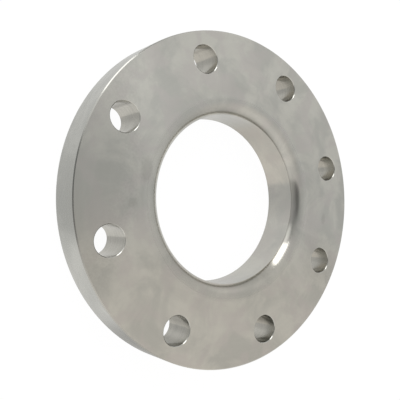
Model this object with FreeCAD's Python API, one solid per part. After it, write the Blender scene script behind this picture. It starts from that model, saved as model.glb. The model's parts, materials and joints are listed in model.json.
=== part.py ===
import FreeCAD, Part
import math
import os

# A lapped pipe flange, turned and drilled from one stainless steel forging.
# It slides over a pipe stub end: the stub's flared lap sits on the flat lap face,
# the large corner radius clears the root of that lap, and the bolts pull on the rim.
# All lengths are in millimetres and all angles in degrees.
# The flange lies on its hub: the origin is on the bore axis at the hub's end face,
# and +Z runs along the bore to the lap face.

# Rim
outside_diameter = 227.7
rim_thickness = 25.1
rim_edge_break = 0.6

# Bore, and the corner radius that leads from the lap face into it
bore_diameter = 116.8
bore_edge_break = 0.6
lap_radius = 11.0
# The corner is rounded first. The last cut of the bore then takes off this depth
# all round, which leaves a fine crease where the radius meets the bore.
bore_finish_cut = 0.9

# Hub, a short collar round the bore behind the rim, with the draft of its forging.
# Its wall is measured at its base, on the rim.
hub_height = 7.5
hub_wall = 9.1
hub_draft = 5.0
hub_root_fillet = 3.0
hub_edge_break = 0.8

# Bolt holes, straddling the X axis. The edge distance runs from the centre of a hole
# out to the rim, and sets the bolt circle.
bolt_hole_count = 8
bolt_hole_diameter = 19.05
bolt_hole_edge_distance = 18.6
bolt_hole_edge_break = 0.35
# How far the drill passes beyond each face of the rim
drill_overrun = 1.0

# Sizes that follow from the ones above
through_length = hub_height + rim_thickness
bolt_circle_diameter = outside_diameter - 2 * bolt_hole_edge_distance
hub_base_diameter = bore_diameter + 2 * hub_wall
outside_radius = outside_diameter / 2
bore_radius = bore_diameter / 2
bolt_hole_radius = bolt_hole_diameter / 2
bolt_circle_radius = bolt_circle_diameter / 2
hub_base_radius = hub_base_diameter / 2
hub_end_radius = hub_base_radius - hub_height * math.tan(math.radians(hub_draft))


def point(radius, height):
    """A point of the section, which lies in the XZ plane beside the bore axis."""
    return FreeCAD.Vector(radius, 0, height)


def rounded_corner(before, corner, after, radius):
    """The tangent arc that rounds a corner of the section between two neighbours."""
    to_before = (before - corner).normalize()
    to_after = (after - corner).normalize()
    half_angle = to_before.getAngle(to_after) / 2
    reach = radius / math.tan(half_angle)
    bisector = (to_before + to_after).normalize()
    middle = corner + bisector * (radius / math.sin(half_angle) - radius)
    return Part.Arc(corner + to_before * reach, middle, corner + to_after * reach).toShape()


def broken_corner(before, corner, after, depth):
    """The short straight chamfer that takes the sharp edge off a corner of the section."""
    start = corner + (before - corner).normalize() * depth
    end = corner + (after - corner).normalize() * depth
    return Part.LineSegment(start, end).toShape()


def lap_corner():
    """The arc from the crease at the bore to where it runs out level in the lap face."""
    centre = point(bore_radius - bore_finish_cut + lap_radius, through_length - lap_radius)
    crease_angle = math.acos((lap_radius - bore_finish_cut) / lap_radius)

    def on_arc(angle):
        return centre + point(-lap_radius * math.cos(angle), lap_radius * math.sin(angle))

    run_out_angle = math.pi / 2
    halfway = (crease_angle + run_out_angle) / 2
    return Part.Arc(on_arc(crease_angle), on_arc(halfway), on_arc(run_out_angle)).toShape()


def section():
    """The closed outline that is turned about the bore axis."""
    bore_end = point(bore_radius, 0)
    rim_front = point(outside_radius, through_length)
    rim_back = point(outside_radius, hub_height)
    hub_root = point(hub_base_radius, hub_height)
    hub_end = point(hub_end_radius, 0)

    lap_arc = lap_corner()
    crease = lap_arc.Vertexes[0].Point
    run_out = lap_arc.Vertexes[-1].Point
    corners = [
        lap_arc,
        broken_corner(run_out, rim_front, rim_back, rim_edge_break),
        broken_corner(rim_front, rim_back, hub_root, rim_edge_break),
        rounded_corner(rim_back, hub_root, hub_end, hub_root_fillet),
        broken_corner(hub_root, hub_end, bore_end, hub_edge_break),
        broken_corner(hub_end, bore_end, crease, bore_edge_break),
    ]
    # A straight run joins each corner to the next, and the last one climbs the bore wall.
    edges = []
    for corner, next_corner in zip(corners, corners[1:] + corners[:1]):
        start = corner.Vertexes[-1].Point
        end = next_corner.Vertexes[0].Point
        edges += [corner, Part.LineSegment(start, end).toShape()]
    return Part.Wire(edges)


def turned_body():
    """The section turned a full circle about the bore axis."""
    axis_point = FreeCAD.Vector(0, 0, 0)
    axis = FreeCAD.Vector(0, 0, 1)
    return Part.Face(section()).revolve(axis_point, axis, 360)


def bolt_hole_cutter():
    """What one bolt hole removes: the drilled hole and the broken edge at each mouth."""
    mouth = bolt_hole_radius + bolt_hole_edge_break + drill_overrun
    outline = Part.makePolygon([
        point(0, hub_height - drill_overrun),
        point(mouth, hub_height - drill_overrun),
        point(bolt_hole_radius, hub_height + bolt_hole_edge_break),
        point(bolt_hole_radius, through_length - bolt_hole_edge_break),
        point(mouth, through_length + drill_overrun),
        point(0, through_length + drill_overrun),
        point(0, hub_height - drill_overrun),
    ])
    return Part.Face(outline).revolve(FreeCAD.Vector(0, 0, 0), FreeCAD.Vector(0, 0, 1), 360)


def bolt_hole_cutters():
    """One cutter for each bolt hole, evenly spaced round the bolt circle."""
    pitch = 360 / bolt_hole_count
    cutters = []
    for number in range(bolt_hole_count):
        cutter = bolt_hole_cutter()
        cutter.translate(FreeCAD.Vector(bolt_circle_radius, 0, 0))
        angle = pitch * (number + 1 / 2)
        cutter.rotate(FreeCAD.Vector(0, 0, 0), FreeCAD.Vector(0, 0, 1), angle)
        cutters.append(cutter)
    return cutters


def flange():
    """The finished flange, one solid."""
    drilled = turned_body().cut(bolt_hole_cutters())
    return drilled.Solids[0]


os.makedirs("parts", exist_ok=True)
finished = flange()
finished.exportStep("parts/flange.step")
print("outside %.1f, through %.1f, bolt circle %.1f mm" % (
    outside_diameter, through_length, bolt_circle_diameter))
print("volume %.1f cm3, valid %s" % (finished.Volume / 1000, finished.isValid()))
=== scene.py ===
# %% [markdown]
# A lapped pipe flange in Blender
#
# The object is one machined ring of stainless steel. A pipe stub end with a flared lip
# goes through its bore, the lip rests on the flat lap face, and eight bolts pull the
# rim against the next flange. The ring was turned on a lathe and then drilled, so this
# lesson makes it in the same order: a section is spun round the axis, and the bolt
# holes are opened in the two flat faces. The frame that is loaded first holds the
# engineer's model, with the sizes that the mesh must keep.

# %% Load the frame
import json
import math

import bmesh
import bpy
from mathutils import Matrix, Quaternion, Vector


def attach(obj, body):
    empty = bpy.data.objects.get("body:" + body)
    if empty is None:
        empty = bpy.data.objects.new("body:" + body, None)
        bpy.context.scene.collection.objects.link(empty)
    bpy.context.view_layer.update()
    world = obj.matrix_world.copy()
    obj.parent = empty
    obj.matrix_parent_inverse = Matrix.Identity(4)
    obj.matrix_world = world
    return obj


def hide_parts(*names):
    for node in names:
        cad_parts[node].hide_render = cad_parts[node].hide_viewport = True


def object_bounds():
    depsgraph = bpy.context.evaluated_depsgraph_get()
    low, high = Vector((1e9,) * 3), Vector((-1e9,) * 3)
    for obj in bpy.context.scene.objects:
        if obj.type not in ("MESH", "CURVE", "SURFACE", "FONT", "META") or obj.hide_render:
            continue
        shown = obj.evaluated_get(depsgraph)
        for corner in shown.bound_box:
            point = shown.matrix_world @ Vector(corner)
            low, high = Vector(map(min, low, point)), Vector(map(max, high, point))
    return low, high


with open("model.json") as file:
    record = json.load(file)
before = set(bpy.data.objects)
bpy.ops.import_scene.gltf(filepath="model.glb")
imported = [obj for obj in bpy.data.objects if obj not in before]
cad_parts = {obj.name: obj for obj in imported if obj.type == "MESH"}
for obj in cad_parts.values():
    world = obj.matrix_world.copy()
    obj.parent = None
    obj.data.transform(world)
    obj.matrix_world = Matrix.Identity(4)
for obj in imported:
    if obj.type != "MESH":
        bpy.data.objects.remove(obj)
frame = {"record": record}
cad_low, cad_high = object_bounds()
print("CAD box, metres:", tuple(cad_low), tuple(cad_high))

# %% [markdown]
# Sizes
#
# A flange is described by its mounts: the bore, the circle of bolt holes and the flat
# faces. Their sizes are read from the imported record, so the mesh can't drift away from
# the engineer's model. Only what the record doesn't list, such as the corner radius and
# the broken edges, is written here again, in metres.

# %% Read the sizes
MM = 0.001
mounts = {mount["name"]: mount for mount in frame["record"]["mounts"]}

outside_radius = cad_high.x
bore_radius = mounts["bore"]["dims"]["r_mm"] * MM
bolt_circle_radius = mounts["bolt_holes"]["dims"]["pcd_mm"] * MM / 2
bolt_hole_radius = mounts["bolt_holes"]["dims"]["hole_r_mm"] * MM
bolt_hole_count = mounts["bolt_holes"]["dims"]["count"]
top = mounts["lap_face"]["pos_m"][2]
rim_back = mounts["nut_face"]["pos_m"][2]

rim_edge_break = 0.6 * MM
bore_edge_break = 0.6 * MM
hub_edge_break = 0.8 * MM
hole_edge_break = 0.35 * MM
lap_radius = 11.0 * MM
bore_finish_cut = 0.9 * MM
hub_wall = 9.1 * MM
hub_draft = math.radians(5.0)
hub_root_fillet = 3.0 * MM
print("outside radius %.2f, bore %.2f, bolt circle %.2f mm" % tuple(
    size / MM for size in (outside_radius, bore_radius, bolt_circle_radius)))

# %% [markdown]
# The camera
#
# The photograph looks at the flat face from 41 degrees off its axis, from less than 40
# centimetres away, and the flange fills the frame. Here the flange lies on its hub, so
# the camera looks down on it and is rolled until the near side of the ring is on the
# left of the picture, as in the photograph. The lens is wide for such a small subject,
# which is why the near side of the ring is drawn larger than the far side.

# %% Place the camera
SENSOR = 36.0
LENS = 48.42
CAMERA_DISTANCE = 0.38197
CAMERA_HEADING = math.radians(100.510)
CAMERA_PITCH = math.radians(-48.990)
CAMERA_ROLL = math.radians(87.212)
PICTURE_SIDE = 400
OPTICAL_CENTRE = (260.0, 191.4)
aim = Vector((-0.00801, 0.02061, top))


def direction(heading, pitch):
    """Unit vector at a heading, measured from +X towards +Y, and a pitch above level."""
    level = math.cos(pitch)
    return Vector((level * math.cos(heading), level * math.sin(heading), math.sin(pitch)))


camera_data = bpy.data.cameras.new("camera")
camera_data.sensor_width = SENSOR
camera_data.lens = LENS
camera_data.shift_x = (PICTURE_SIDE / 2 - OPTICAL_CENTRE[0]) / PICTURE_SIDE
camera_data.shift_y = (OPTICAL_CENTRE[1] - PICTURE_SIDE / 2) / PICTURE_SIDE
camera_data.clip_start = 0.01
camera = bpy.data.objects.new("camera", camera_data)
bpy.context.collection.objects.link(camera)
forward = direction(CAMERA_HEADING, CAMERA_PITCH)
camera.location = aim - forward * CAMERA_DISTANCE
camera.rotation_mode = "QUATERNION"
camera.rotation_quaternion = forward.to_track_quat("-Z", "Y") @ Quaternion((0, 0, 1), CAMERA_ROLL)
bpy.context.scene.camera = camera
print("camera at, mm:", [round(value / MM, 1) for value in camera.location])

# %% [markdown]
# Rings and bands
#
# A turned part is a stack of circles. A ring is one circle of vertices round an axis,
# and a band is the strip of four-sided faces between two rings. Blender's Screw or Spin
# tools could turn the section as well, but rings that are made one by one can be shared
# with the flat faces and their holes, so the mesh closes with no gap and no doubled
# vertex. Each band also takes the number of its finish, because a lathe leaves another
# surface on the face than a drill does in a hole.

# %% Make the ring and band helpers
RING_STEPS = 512
HOLE_STEPS = 96
FINISHES = ["lap", "bore_wall", "rim", "edge", "lip", "hole_wall", "back"]
mesh_builder = bmesh.new()


def ring(radius, height, centre=(0.0, 0.0), steps=RING_STEPS):
    """One circle of vertices, at a height, round a vertical axis."""
    vertices = []
    for step in range(steps):
        angle = 2 * math.pi * step / steps
        x = centre[0] + radius * math.cos(angle)
        y = centre[1] + radius * math.sin(angle)
        vertices.append(mesh_builder.verts.new((x, y, height)))
    return vertices


def band(first, second, finish):
    """Four-sided faces between two rings with as many vertices."""
    for step in range(len(first)):
        following = (step + 1) % len(first)
        corners = (first[step], first[following], second[following], second[step])
        face = mesh_builder.faces.new(corners)
        face.material_index = FINISHES.index(finish)


# %% [markdown]
# The corner radius
#
# The inner edge of the lap face is the form that gives this kind of flange away. It is
# rounded to clear the root of the stub's lip, and then the bore gets its last cut, which
# removes the end of the arc and leaves a fine crease all round. The arc is made of many
# short bands, because it carries the sharpest reflections of the whole ring, and one
# narrow flat band is added where it ends. That band keeps the smooth shading of the arc
# from bending the light on the wide flat face.

# %% Turn the corner radius
CORNER_STEPS = 28
GUARD = 0.25 * MM

corner_centre_radius = bore_radius - bore_finish_cut + lap_radius
crease_angle = math.acos((lap_radius - bore_finish_cut) / lap_radius)
corner_rings = []
for step in range(CORNER_STEPS + 1):
    angle = crease_angle + (math.pi / 2 - crease_angle) * step / CORNER_STEPS
    corner_rings.append(ring(
        corner_centre_radius - lap_radius * math.cos(angle),
        top - lap_radius + lap_radius * math.sin(angle)))
for lower, upper in zip(corner_rings, corner_rings[1:]):
    band(lower, upper, "lap")
lap_inner = ring(corner_centre_radius + GUARD, top)
band(corner_rings[-1], lap_inner, "lap")
print("crease %.2f mm below the face" % ((top - corner_rings[0][0].co.z) / MM))

# %% [markdown]
# Rim, back and hub
#
# The rest of the section is straight runs with their sharp edges taken off by a small
# chamfer, as a machinist does with a file or a tool at 45 degrees. The chamfers are
# real faces. They are under a millimetre wide, yet the bright and dark line that they
# draw round the rim is one of the first things that the eye finds. The hub behind the
# rim keeps the slight taper of its forging and runs into the rim in a hollow fillet.

# %% Turn the rim, the hub and the bore
FILLET_STEPS = 10

rim_front = [ring(outside_radius - rim_edge_break, top), ring(outside_radius, top - rim_edge_break)]
rim_rear = [ring(outside_radius, rim_back + rim_edge_break),
            ring(outside_radius - rim_edge_break, rim_back)]
band(*rim_front, "edge")
band(rim_front[1], rim_rear[0], "rim")
band(*rim_rear, "edge")

hub_base_radius = bore_radius + hub_wall
fillet_reach = hub_root_fillet / math.tan((math.pi / 2 + hub_draft) / 2)
fillet_centre = (hub_base_radius + fillet_reach, rim_back - hub_root_fillet)
fillet_rings = []
for step in range(FILLET_STEPS + 1):
    angle = math.pi / 2 + (math.pi / 2 - hub_draft) * step / FILLET_STEPS
    fillet_rings.append(ring(
        fillet_centre[0] + hub_root_fillet * math.cos(angle),
        fillet_centre[1] + hub_root_fillet * math.sin(angle)))
for outer, inner in zip(fillet_rings, fillet_rings[1:]):
    band(outer, inner, "back")
back_inner = ring(fillet_centre[0] + GUARD, rim_back)
band(back_inner, fillet_rings[0], "back")

hub_end_radius = hub_base_radius - rim_back * math.tan(hub_draft)
hub_side_end = ring(
    hub_end_radius + hub_edge_break * math.sin(hub_draft), hub_edge_break * math.cos(hub_draft))
hub_face = [ring(hub_end_radius - hub_edge_break, 0.0), ring(bore_radius + bore_edge_break, 0.0)]
bore_start = ring(bore_radius, bore_edge_break)
band(fillet_rings[-1], hub_side_end, "back")
band(hub_side_end, hub_face[0], "edge")
band(*hub_face, "back")
band(hub_face[1], bore_start, "edge")
band(bore_start, corner_rings[0], "bore_wall")
print("hub stands %.1f mm behind the rim" % (rim_back / MM))

# %% [markdown]
# Bolt holes
#
# The holes could be cut with a Boolean modifier, but that leaves long splinters of
# faces round each cut. Here each flat face is built with its holes already open. A
# narrow zone of the face, just wide enough for the holes, is filled with triangles
# between its outer ring, its inner ring and the hole mouths, and the plain zones on
# either side stay clean bands.

# %% Make a face with its holes open
HOLE_ZONE_MARGIN = 3.0 * MM

mouth_radius = bolt_hole_radius + hole_edge_break
zone_half_width = mouth_radius + HOLE_ZONE_MARGIN
hole_centres = []
for number in range(bolt_hole_count):
    angle = 2 * math.pi * (number + 0.5) / bolt_hole_count
    hole_centres.append((bolt_circle_radius * math.cos(angle), bolt_circle_radius * math.sin(angle)))


def ring_edges(vertices):
    """The edges round one ring, made where they don't exist yet."""
    edges = []
    for vertex, following in zip(vertices, vertices[1:] + vertices[:1]):
        edge = mesh_builder.edges.get((vertex, following))
        edges.append(edge or mesh_builder.edges.new((vertex, following)))
    return edges


def drilled_face(outer, inner, height, finish):
    """A flat ring-shaped face with all its hole mouths; gives the mouths' rings."""
    zone_outer = ring(bolt_circle_radius + zone_half_width, height)
    zone_inner = ring(bolt_circle_radius - zone_half_width, height)
    mouths = [ring(mouth_radius, height, centre, HOLE_STEPS) for centre in hole_centres]
    band(outer, zone_outer, finish)
    band(zone_inner, inner, finish)
    edges = []
    for loop in [zone_outer, zone_inner, *mouths]:
        edges += ring_edges(loop)
    filled = bmesh.ops.triangle_fill(mesh_builder, use_beauty=True, edges=edges, normal=(0, 0, 1))
    for item in filled["geom"]:
        if isinstance(item, bmesh.types.BMFace):
            item.material_index = FINISHES.index(finish)
    return mouths


print("the holes' zone is %.1f mm wide" % (2 * zone_half_width / MM))

# %% [markdown]
# From mouth to mouth
#
# Each hole runs straight through the rim, and a small countersink takes the sharp edge
# off both of its mouths. The two mouths of a hole have as many vertices, so three bands
# join them: a lip, the wall and another lip. Nothing has to be cut or merged afterwards.

# %% Open the holes in the two flat faces
front_mouths = drilled_face(rim_front[0], lap_inner, top, "lap")
back_mouths = drilled_face(rim_rear[1], back_inner, rim_back, "back")
for centre, front, back in zip(hole_centres, front_mouths, back_mouths):
    wall_top = ring(bolt_hole_radius, top - hole_edge_break, centre, HOLE_STEPS)
    wall_end = ring(bolt_hole_radius, rim_back + hole_edge_break, centre, HOLE_STEPS)
    band(front, wall_top, "lip")
    band(wall_top, wall_end, "hole_wall")
    band(wall_end, back, "lip")
print("%d bolt holes opened" % bolt_hole_count)

# %% [markdown]
# From rings to one object
#
# All faces are turned to look outwards. Every face is shaded smooth, and an edge is
# marked sharp where its two faces meet at more than a few degrees. The crease in the
# bore and the chamfers stay crisp that way, and the round walls have no facets. The new
# mesh has the same form as the engineer's solid, so it takes that solid's place in the
# picture and follows the same body.

# %% Make the flange object
SHARP_ANGLE = math.radians(12.0)

bmesh.ops.recalc_face_normals(mesh_builder, faces=mesh_builder.faces)
for face in mesh_builder.faces:
    face.smooth = True
for edge in mesh_builder.edges:
    edge.smooth = edge.calc_face_angle() < SHARP_ANGLE
open_edges = [edge for edge in mesh_builder.edges if len(edge.link_faces) != 2]
flange_mesh = bpy.data.meshes.new("flange_ring")
mesh_builder.to_mesh(flange_mesh)
mesh_builder.free()
flange = bpy.data.objects.new("flange_ring", flange_mesh)
bpy.context.collection.objects.link(flange)
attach(flange, "root")
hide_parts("flange")
print("%d faces, %d open edges" % (len(flange_mesh.polygons), len(open_edges)))

# %% [markdown]
# Arithmetic on sockets
#
# A material is a small program made of nodes. Wiring each Math node by hand hides what
# is being worked out, so one class wraps a socket and adds a Math node for each Python
# operator. With it, 1 - mask reads as it would on paper.

# %% Make a socket that can be calculated with
class Number:
    """A number that varies over a surface: an output socket that can be calculated with."""

    def __init__(self, tree, socket):
        self.tree = tree
        self.socket = socket

    def calculate(self, operation, first, second):
        return self.tree.node("ShaderNodeMath", {"operation": operation}, {0: first, 1: second})

    def __add__(self, other):
        return self.calculate("ADD", self, other)

    def __sub__(self, other):
        return self.calculate("SUBTRACT", self, other)

    def __rsub__(self, other):
        return self.calculate("SUBTRACT", other, self)

    def __mul__(self, other):
        return self.calculate("MULTIPLY", self, other)

    def __pow__(self, other):
        return self.calculate("POWER", self, other)

    __radd__ = __add__
    __rmul__ = __mul__


# %% [markdown]
# Nodes in one line
#
# The second helper holds a whole tree of nodes. One call adds a node, sets it up and
# links its sockets, so that each recipe below stays as short as the idea behind it.
# Colours don't go through Math nodes, which would turn them grey: they have a Mix node
# of their own.

# %% Make a tree of nodes
class Tree:
    """The nodes of one material or of the world, emptied before use."""

    def __init__(self, owner):
        owner.use_nodes = True
        self.nodes = owner.node_tree.nodes
        self.links = owner.node_tree.links
        self.nodes.clear()

    def node(self, kind, settings=None, inputs=None, output=0):
        """Adds a node: its settings first, then a value or a link for each socket."""
        made = self.nodes.new(kind)
        for name, value in (settings or {}).items():
            setattr(made, name, value)
        for name, value in (inputs or {}).items():
            if isinstance(value, Number):
                self.links.new(value.socket, made.inputs[name])
            else:
                made.inputs[name].default_value = value
        return Number(self, made.outputs[output]) if made.outputs else None

    def ramp(self, value, low, high):
        """0 below low, 1 above high and a smooth step between them."""
        return self.node("ShaderNodeMapRange", {"interpolation_type": "SMOOTHSTEP"},
                         {"Value": value, "From Min": low, "From Max": high})

    def mix_colour(self, share, first, second, blend="MIX"):
        """The first colour where share is 0; the second, or their product, where it is 1."""
        settings = {"data_type": "RGBA", "blend_type": blend}
        # A Mix node has its own sockets for each type of data: 6, 7 and output 2 are the colours.
        return self.node("ShaderNodeMix", settings, {0: share, 6: first, 7: second}, 2)


# %% [markdown]
# Smudges and painted shade in their places
#
# A flange is handled and stacked before it is photographed, and that leaves traces. The face of this one
# has a few smudges. One wide oval is painted shade on the near side of the face, where the face reflects
# darker. Traces could be painted on a picture that is wrapped round the mesh. Here each smudge, and the
# painted shade, is an oval with a ragged edge that is worked out from the place on the ring. It stays
# sharp at any size and can be moved by changing a number.

# %% Draw the smudges and the painted shade
RAGGED_SIZE = 6.0 * MM
SMUDGE_AND_SHADE_FADE = (0.6, 1.7)
# Middle and half lengths along X and Y, in millimetres, and strength of each oval
FACE_SMUDGES_AND_SHADE = [
    (-8.0, -70.0, 9.0, 4.5, 0.28),
    (13.0, -77.0, 3.5, 3.5, 0.22),
    (4.0, 88.5, 5.0, 2.5, 0.25),
    (36.0, 86.0, 24.0, 20.0, 0.21),
    # Painted shade: this widest oval darkens the near side of the face, where the face reflects darker.
    (0.0, -103.0, 78.0, 30.0, 0.34),
]


def smudges_and_shade(tree, x, y):
    """How strongly the smudges and the painted shade darken the lap face at a place."""
    total = None
    ragged = tree.node("ShaderNodeTexNoise", None, {"Scale": 1 / RAGGED_SIZE, "Detail": 3.0})
    for middle_x, middle_y, half_x, half_y, strength in FACE_SMUDGES_AND_SHADE:
        across = (x - middle_x * MM) * (1 / (half_x * MM))
        along = (y - middle_y * MM) * (1 / (half_y * MM))
        darkening = (1 - tree.ramp(across * across + along * along + ragged, *SMUDGE_AND_SHADE_FADE)) * strength
        total = darkening if total is None else total + darkening
    return total


# The count takes in the oval of painted shade.
print(len(FACE_SMUDGES_AND_SHADE), "smudges on the lap face")

# %% [markdown]
# Tones and painted light that each finish has
#
# The corner radius is a little darker than the face, with a faint darker band round it, and the face turns
# straw-coloured on one side. Two stretches of the rim's broken edge have painted highlights, and the rim
# has painted shade at one end. The two holes that are lowest in the picture have a painted dark reflection
# at their ends, because the drawn studio didn't give that reflection. One function takes the name of the
# finish and adds what belongs to it, so that the recipe of the steel stays short.

# %% Darken and brighten by place
SMUDGE_AND_SHADE_TONE = (0.30, 0.295, 0.270, 1.0)
STRAW = (0.965, 0.94, 0.91, 1.0)
PAINTED_EDGE_HIGHLIGHT = (0.46, 0.452, 0.42, 1.0)
PAINTED_RIM_SHADE = (0.87, 0.87, 0.87, 1.0)
PAINTED_DARK_REFLECTION = (0.45, 0.45, 0.43, 1.0)
# Radii between which the corner's tone and the darker band round it fade
CORNER_END = (67.5 * MM, 70.5 * MM)
CORNER_SHARE = 0.18
CORNER_BAND_END = (74.0 * MM, 84.0 * MM)
CORNER_BAND_SHARE = 0.08
# Places along X, which points down in the picture, between which each tone fades
STRAW_FADE = (0.0 * MM, 65.0 * MM)
LOWER_EDGE_HIGHLIGHT_FADE = (28.0 * MM, 78.0 * MM)
UPPER_EDGE_HIGHLIGHT_FADE = (-28.0 * MM, -8.0 * MM)
UPPER_EDGE_HIGHLIGHT_SHARE = 0.42
PAINTED_RIM_SHADE_FADE = (76.0 * MM, 90.0 * MM)
LOW_HOLES_FADE = (60.0 * MM, 70.0 * MM)
# Across a hole, from -1 on the bore's side to 1 on the rim's side
RIM_SIDE_DARK_REFLECTION = (0.5, 1.0)
RIM_SIDE_SHARE = 0.7
BORE_SIDE_DARK_REFLECTION = (-0.6, 0.0)
BORE_SIDE_FADE = (-120.0 * MM, 40.0 * MM)


def with_marks_and_painted_light(tree, name, colour, x, y, radius):
    """The colour of a finish with the smudges, tones and painted light that lie in fixed places."""
    # The face: smudges, one oval of painted shade, a darker corner and a darker band round it, and a straw
    # tint on one side.
    if name == "lap":
        in_corner = (1 - tree.ramp(radius, *CORNER_END)) * CORNER_SHARE
        corner_band = (1 - tree.ramp(radius, *CORNER_BAND_END)) * CORNER_BAND_SHARE
        colour = tree.mix_colour(smudges_and_shade(tree, x, y) + in_corner + corner_band, colour, SMUDGE_AND_SHADE_TONE)
        return tree.mix_colour(tree.ramp(x, *STRAW_FADE), colour, STRAW, "MULTIPLY")
    # Painted highlights: two stretches of the rim's broken edge are painted brighter.
    if name == "edge":
        lower = tree.ramp(x, *LOWER_EDGE_HIGHLIGHT_FADE)
        upper = (1 - tree.ramp(x, *UPPER_EDGE_HIGHLIGHT_FADE)) * UPPER_EDGE_HIGHLIGHT_SHARE
        return tree.mix_colour(lower + upper, colour, PAINTED_EDGE_HIGHLIGHT)
    # Painted shade: the rim's lower end is painted darker, in place of a darker reflection there.
    if name == "rim":
        return tree.mix_colour(tree.ramp(x, *PAINTED_RIM_SHADE_FADE), colour, PAINTED_RIM_SHADE, "MULTIPLY")
    # Painted dark reflection: the ends of the two lowest bolt holes are painted darker.
    if name == "hole_wall":
        across = (x - hole_centres[0][0]) * (1 / bolt_hole_radius)
        rim_side = tree.ramp(across, *RIM_SIDE_DARK_REFLECTION) * RIM_SIDE_SHARE
        bore_side = (1 - tree.ramp(across, *BORE_SIDE_DARK_REFLECTION)) * tree.ramp(y, *BORE_SIDE_FADE)
        share = (rim_side + bore_side) * tree.ramp(x, *LOW_HOLES_FADE)
        return tree.mix_colour(share, colour, PAINTED_DARK_REFLECTION, "MULTIPLY")
    return colour


print("shade_painted holes centred at X %.1f mm" % (hole_centres[0][0] / MM))

# %% [markdown]
# Stainless steel
#
# Machined steel has almost no colour of its own. What the eye reads as steel is how the
# surface scatters reflections. A turning tool leaves hundreds of fine grooves that run
# round the ring, and they smear each reflection across themselves, from the bore towards
# the rim. The grooves are too fine to model. The shader's anisotropy does the smearing:
# its direction runs round the object's own Z axis, and a quarter turn sets it across the
# grooves. A faint bump adds some that can be seen close by. Slow clouds of warmer and
# greener grey, with a rosy stain here and there, stand for what handling and coolant can
# leave on a face.

# %% Make one steel finish
CLOUD_SIZE = 30.0 * MM
STAIN_SIZE = 17.0 * MM
STAIN_LEVELS = (0.46, 0.62)
STAIN_SHARE = 0.6
STREAK_LENGTH = 30.0 * MM
STREAK_ROUGHNESS = 0.10
ACROSS_GROOVES = 0.25
GROOVE_STRENGTH = 0.03
GROOVE_DEPTH = 0.5
CORNER_RUN_OUT = (corner_centre_radius - 2.5 * MM, corner_centre_radius + 3.5 * MM)


def steel(name, warm, cool, stain, roughness, smear, groove_width, streak_width, streak_share, contrast):
    """One machined finish. Widths are in metres, shares and strengths from 0 to 1."""
    material = bpy.data.materials.new("steel_" + name)
    tree = Tree(material)
    place = tree.node("ShaderNodeTexCoord", output="Object")
    x, y, z = [tree.node("ShaderNodeSeparateXYZ", None, {0: place}, axis) for axis in range(3)]
    radius = (x * x + y * y) ** 0.5
    along_section = z if name == "hole_wall" else radius + z

    def lines_round_ring(width):
        stretched = tree.node("ShaderNodeCombineXYZ", None, {
            0: along_section * (1 / width), 1: x * (1 / STREAK_LENGTH), 2: y * (1 / STREAK_LENGTH)})
        return tree.node("ShaderNodeTexNoise", None, {"Scale": 1.0, "Detail": 2.0, "Vector": stretched})

    grooves = lines_round_ring(groove_width)
    streaks = lines_round_ring(streak_width)
    clouds = tree.node("ShaderNodeTexNoise", None, {
        "Vector": place, "Scale": 1 / CLOUD_SIZE, "Detail": 5.0, "Roughness": 0.6, "Distortion": 0.6})
    stains = tree.node("ShaderNodeTexNoise", None, {
        "Vector": place, "Scale": 1 / STAIN_SIZE, "Detail": 4.0, "Roughness": 0.5, "Distortion": 0.4})
    tone = tree.ramp(clouds, 0.5 - contrast, 0.5 + contrast) * (1 - streak_share) + streaks * streak_share
    colour = tree.mix_colour(tone, warm, cool)
    colour = tree.mix_colour(tree.ramp(stains, *STAIN_LEVELS) * STAIN_SHARE, colour, stain)
    colour = with_marks_and_painted_light(tree, name, colour, x, y, radius)
    if name == "lap":
        on_face = tree.ramp(radius, *CORNER_RUN_OUT)
        roughness = on_face * (roughness[1] - roughness[0]) + roughness[0]
    bump = tree.node("ShaderNodeBump", None, {
        "Strength": GROOVE_STRENGTH, "Distance": groove_width * GROOVE_DEPTH, "Height": grooves})
    shader = tree.node("ShaderNodeBsdfPrincipled", None, {
        "Base Color": colour, "Metallic": 1.0, "Roughness": (streaks - 0.5) * STREAK_ROUGHNESS + roughness,
        "Anisotropic": smear, "Anisotropic Rotation": ACROSS_GROOVES, "Normal": bump})
    tree.node("ShaderNodeOutputMaterial", None, {"Surface": shader})
    return material


# %% [markdown]
# Seven finishes
#
# The lap face and its corner radius share one finish, because one tool can cut both. The
# photograph shows sharper reflections in the corner, so the roughness is a pair of values
# that blend across the run-out. The broken edges of the rim and the hub are about as
# smooth as the corner and much darker, and the lips of the bolt holes are bright. A drill
# leaves coarser grooves than a lathe, so the hole walls have strong streaks of two tones
# that run round each hole.

# %% Make the seven finishes
WARM = (0.614, 0.604, 0.554, 1.0)
COOL = (0.486, 0.485, 0.452, 1.0)
STAIN = (0.542, 0.515, 0.492, 1.0)
BORE_WARM = (0.555, 0.546, 0.504, 1.0)
BORE_COOL = (0.482, 0.480, 0.450, 1.0)
BORE_STAIN = (0.507, 0.490, 0.463, 1.0)
RIM_WARM = (0.502, 0.504, 0.474, 1.0)
RIM_COOL = (0.415, 0.419, 0.394, 1.0)
EDGE_WARM = (0.31, 0.305, 0.285, 1.0)
EDGE_COOL = (0.27, 0.27, 0.255, 1.0)
LIP_WARM = (0.60, 0.59, 0.55, 1.0)
LIP_COOL = (0.50, 0.50, 0.47, 1.0)
HOLE_WARM = (0.575, 0.56, 0.51, 1.0)
HOLE_COOL = (0.415, 0.41, 0.38, 1.0)

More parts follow.
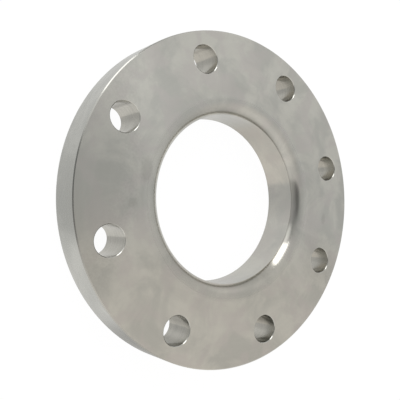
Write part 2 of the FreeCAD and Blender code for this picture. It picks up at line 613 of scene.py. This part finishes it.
# Tones, roughness, smear, groove and streak widths, share of the streaks, contrast
face_tones = (WARM, COOL, STAIN)
finish_values = {
    "lap": (*face_tones, (0.19, 0.40), 0.72, 0.5 * MM, 3.5 * MM, 0.25, 0.11),
    "bore_wall": (BORE_WARM, BORE_COOL, BORE_STAIN, 0.22, 0.7, 0.5 * MM, 3.5 * MM, 0.25, 0.10),
    "rim": (RIM_WARM, RIM_COOL, RIM_COOL, 0.26, 0.4, 0.5 * MM, 2.5 * MM, 0.25, 0.11),
    "edge": (EDGE_WARM, EDGE_COOL, EDGE_COOL, 0.18, 0.0, 0.4 * MM, 3.0 * MM, 0.25, 0.30),
    "lip": (LIP_WARM, LIP_COOL, LIP_COOL, 0.20, 0.0, 0.4 * MM, 3.0 * MM, 0.25, 0.30),
    "hole_wall": (HOLE_WARM, HOLE_COOL, HOLE_COOL, 0.22, 0.6, 0.7 * MM, 1.1 * MM, 0.8, 0.25),
    "back": (*face_tones, 0.36, 0.7, 0.5 * MM, 3.5 * MM, 0.25, 0.18),
}
for finish in FINISHES:
    flange_mesh.materials.append(steel(finish, *finish_values[finish]))
print("finishes:", ", ".join(FINISHES))

# %% [markdown]
# A white floor that keeps a shadow
#
# The photograph is cut out on pure white. The floor glows white for what the camera sees,
# and a small share of it is plain white paint, so that the ring still darkens the floor
# beneath it. The steel looks past the floor, at the lower half of the studio, and the
# floor casts no shadow, so that half lights the ring as well. The walls of the ring in
# the photograph mirror no white floor. They show straight steps of light, which are
# taken here for the edge of a table and the room beyond it.

# %% Lay the floor
FLOOR_HALF = 4.0
SEEN_GLOW = 0.92
GLOW_STRENGTH = 1.04
WHITE = (1.0, 1.0, 1.0, 1.0)
FLOOR_PAINT = (0.9, 0.9, 0.9, 1.0)

floor_mesh = bpy.data.meshes.new("floor")
floor_mesh.from_pydata(
    [(-FLOOR_HALF, -FLOOR_HALF, 0), (FLOOR_HALF, -FLOOR_HALF, 0),
     (FLOOR_HALF, FLOOR_HALF, 0), (-FLOOR_HALF, FLOOR_HALF, 0)], [], [(0, 1, 2, 3)])
floor = bpy.data.objects.new("floor", floor_mesh)
floor.location.z = cad_low.z
floor.visible_glossy = False
floor.visible_shadow = False
bpy.context.collection.objects.link(floor)
floor_material = bpy.data.materials.new("white_floor")
tree = Tree(floor_material)
camera_ray, glossy_ray, glass_ray = [
    tree.node("ShaderNodeLightPath", output="Is %s Ray" % kind)
    for kind in ("Camera", "Glossy", "Transmission")]
paint = tree.node("ShaderNodeBsdfDiffuse", None, {"Color": FLOOR_PAINT})
glow = tree.node("ShaderNodeEmission", None, {"Color": WHITE, "Strength": GLOW_STRENGTH})
seen_white = (camera_ray + glossy_ray + glass_ray) * SEEN_GLOW
mixed = tree.node("ShaderNodeMixShader", None, {0: seen_white, 1: paint, 2: glow})
tree.node("ShaderNodeOutputMaterial", None, {"Surface": mixed})
floor_mesh.materials.append(floor_material)
print("floor at height", floor.location.z)

# %% [markdown]
# Directions in the studio
#
# Bare metal shows its surroundings more than itself, so the lighting is a picture that
# the ring reflects. The world holds that picture as a brightness for each direction. It
# could be a panorama photograph, but then nothing in it could be moved. Three small
# helpers draw it instead: facing measures the angle to an axis, patch is a soft oval, and
# right_of is all that lies on one side of a plane, with an edge as straight as a table's.

# %% Measure directions in the studio
PATCH_SIDE = (0.0, 0.1)

world = bpy.data.worlds.new("studio")
bpy.context.scene.world = world
tree = Tree(world)
sky = tree.node("ShaderNodeTexCoord", output="Generated")


def facing(axis):
    """The cosine of the angle between a ray's direction and an axis."""
    return tree.node("ShaderNodeVectorMath", {"operation": "DOT_PRODUCT"},
                     {0: sky, 1: tuple(axis)}, "Value")


def patch(heading, pitch, half_width, half_height):
    """1 in the middle of an oval patch of the dome and 0 outside it. All in degrees."""
    heading, pitch, half_width, half_height = [
        math.radians(angle) for angle in (heading, pitch, half_width, half_height)]
    across = facing(direction(heading + math.pi / 2, 0.0)) * (1 / math.sin(half_width))
    upwards = facing(direction(heading, pitch + math.pi / 2)) * (1 / math.sin(half_height))
    on_this_side = tree.ramp(facing(direction(heading, pitch)), *PATCH_SIDE)
    return (1 - tree.ramp(across * across + upwards * upwards, 0.0, 1.0)) * on_this_side


def right_of(heading, softness, lean=0.0):
    """1 on the right of a plane through the ring, seen along its heading. In degrees."""
    side = direction(math.radians(heading - 90), math.radians(lean))
    return tree.ramp(facing(side), -softness, softness)


def shaded(light, shades, share=1.0):
    """The light, weakened by each patch in a list. The share says where they count."""
    for *oval, strength in shades:
        light = light * (1 - share * patch(*oval) * strength)
    return light


print("world:", world.name)

# %% [markdown]
# Above the horizon
#
# The upper half is a pale dome with a brighter belt half way up, strongest to the sides.
# The side below the ring in the photograph is taken for a creamy table, so the dome is a
# little warmer and brighter there. The dark part of the room is an oval patch with a
# darker heart, cut off by the straight edge of the table. It draws the dark band in the
# corner radius and the dark line along the near edge of the rim. A pale patch beside it
# stands for a wall next to the lamp, and fainter patches finish the round.

# %% Light the upper half
DOME = 0.66
BELT = 0.13
SIDE_BELT = 0.29
SIDE_SHIFT = 0.12
BELT_LEVELS = (-0.1, 0.75, 0.85, 1.03)
TABLE_EDGE = -61
TABLE_EDGE_BLUR = 0.04
WARM_SIDE = (1.010, 0.985, 0.955, 1.0)
COOL_SIDE = (0.985, 0.990, 0.985, 1.0)
TINT_TURN = (-0.1, 0.4)
# Heading, pitch, half width, half height and strength of each patch
TABLE_GLOW = (-45, 4, 45, 32, 0.28)
PALE_WALLS = [(-127, 14, 17, 28, 0.85), (138, 18, 20, 26, 0.12)]
ROOM_SHADES = [(-97, 42, 54, 50, 0.38), (-80, 53, 25, 23, 0.62), (-80, 27, 30, 14, 0.13)]
WALL_SHADES = [(-112, 38, 18, 12, 0.24), (-179, 34, 22, 28, 0.18)]

to_the_side, height = [facing(axis) for axis in ((1, 0, 0), (0, 0, 1))]
room_side = right_of(TABLE_EDGE, TABLE_EDGE_BLUR)
table_glow = (1 - room_side) * patch(*TABLE_GLOW[:4]) * TABLE_GLOW[4]
belt = tree.ramp(height, *BELT_LEVELS[:2]) * (1 - tree.ramp(height, *BELT_LEVELS[2:]))
side_light = (to_the_side + SIDE_SHIFT) ** 2 * SIDE_BELT
upper = belt * (side_light + BELT) + table_glow + DOME
for *oval, strength in PALE_WALLS:
    upper = upper + patch(*oval) * strength
upper = shaded(shaded(upper, ROOM_SHADES, room_side), WALL_SHADES)
tint = tree.mix_colour(tree.ramp(to_the_side, *TINT_TURN), COOL_SIDE, WARM_SIDE)
print("dome strength", DOME, "to", DOME + BELT + SIDE_BELT)

# %% [markdown]
# Below the horizon
#
# The upright walls of the bore, the bolt holes and the rim mirror the lower half of the
# studio. It is a plain pale ground with the same table in it. The table's edge draws the
# straight step in the bore wall and the finer ones in the holes and the rim. Past that
# edge lies the shade of the room. The table itself is warm where it is seen at a slant,
# and its far end draws one more step on the rim.

# %% Light the lower half
GROUND = 0.87
HORIZON_LIGHT = 0.22
NEAR_HORIZON = (-0.6, -0.1)
TABLE_TOP = 0.08
GROUND_PLAIN = (1.0, 0.995, 0.98, 1.0)
TABLE_WARM = (0.98, 0.94, 0.885, 1.0)
LOW_TABLE_EDGE = -67
LOW_TABLE_LEAN = -4.5
LOW_TABLE_BLUR = 0.006
TABLE_END = 196
TABLE_END_BLUR = 0.02
WARM_TABLE = 40
WARM_TABLE_BLUR = 0.15
FROM_ABOVE = (-0.86, -0.80)
# Heading, pitch, half width, half height and strength of each patch
TABLE_RIM = (-52, -47, 18, 20, 0.08)
GROUND_SHADES = [(-105, -62, 60, 24, 0.08), (100, -50, 40, 22, 0.08)]
LOW_ROOM_SHADES = [(-72, -50, 34, 27, 0.22)]
END_SHADES = [(34, -58, 22, 6, 0.45)]

low_room_side = right_of(LOW_TABLE_EDGE, LOW_TABLE_BLUR, LOW_TABLE_LEAN)
table_side = 1 - low_room_side
past_end = right_of(TABLE_END, TABLE_END_BLUR)
seen_from_above = 1 - tree.ramp(height, *FROM_ABOVE)
table_top = table_side * (1 - past_end) * seen_from_above * TABLE_TOP
table_rim = table_side * patch(*TABLE_RIM[:4]) * TABLE_RIM[4]
towards_horizon = tree.ramp(height, *NEAR_HORIZON) * HORIZON_LIGHT
lower = table_top + table_rim + towards_horizon + table_glow + GROUND
lower = shaded(shaded(lower, GROUND_SHADES), LOW_ROOM_SHADES, low_room_side)
lower = shaded(lower, END_SHADES, past_end)
warm_table = table_side * right_of(WARM_TABLE, WARM_TABLE_BLUR) * (1 - seen_from_above)
ground_colour = tree.mix_colour(warm_table, GROUND_PLAIN, TABLE_WARM)
print("ground strength", GROUND, "to", GROUND + HORIZON_LIGHT)

# %% [markdown]
# One dome
#
# A soft step at the horizon blends the two halves. The camera doesn't see this dome:
# where its rays miss the floor they get plain white, as the photograph is cut out on
# white.

# %% Join the two halves
HORIZON = (-0.08, 0.12)

upper_light = tree.node("ShaderNodeBackground", None, {"Color": tint, "Strength": upper})
lower_light = tree.node("ShaderNodeBackground", None, {"Color": ground_colour, "Strength": lower})
above = tree.ramp(height, *HORIZON)
studio = tree.node("ShaderNodeMixShader", None, {0: above, 1: lower_light, 2: upper_light})
backdrop = tree.node("ShaderNodeBackground", None, {"Color": WHITE, "Strength": 1.0})
camera_ray = tree.node("ShaderNodeLightPath", output="Is Camera Ray")
seen = tree.node("ShaderNodeMixShader", None, {0: camera_ray, 1: studio, 2: backdrop})
tree.node("ShaderNodeOutputWorld", None, {"Surface": seen})
print("the halves blend between heights", HORIZON)

# %% [markdown]
# The softbox
#
# One tall lamp, which leans a little, stands above and to the left of the ring as the
# photograph shows it. It draws the white glint in the corner radius, the bright line
# along the rim's edge and the sparks on the lips of the bolt holes. All three come from
# one place, which is how the position of a lamp can be found from a photograph.

# %% Set up the softbox
BOX_HEADING = math.radians(-152)
BOX_DISTANCE = 1.6
BOX_CENTRE_HEIGHT = 0.73
BOX_WIDTH = 0.76
BOX_HEIGHT = 1.45
BOX_LEAN = math.radians(11)
BOX_POWER = 8.6

box_place = direction(BOX_HEADING, 0.0) * BOX_DISTANCE + Vector((0, 0, BOX_CENTRE_HEIGHT))
box_data = bpy.data.lights.new("softbox", "AREA")
box_data.shape = "RECTANGLE"
box_data.size = BOX_WIDTH
box_data.size_y = BOX_HEIGHT
box_data.energy = BOX_POWER
softbox = bpy.data.objects.new("softbox", box_data)
softbox.location = box_place
softbox.rotation_mode = "QUATERNION"
towards_ring = (Vector((0, 0, top)) - box_place).to_track_quat("-Z", "Y")
softbox.rotation_quaternion = towards_ring @ Quaternion((0, 0, 1), BOX_LEAN)
softbox.visible_camera = False
bpy.context.collection.objects.link(softbox)
print("softbox %.2f m from the axis" % BOX_DISTANCE)

# %% [markdown]
# Finish
#
# The colours are shown as they are, with no film look. The mesh has to lie inside the
# engineer's model.

# %% Show the colours as they are
bpy.context.scene.view_settings.view_transform = "Standard"
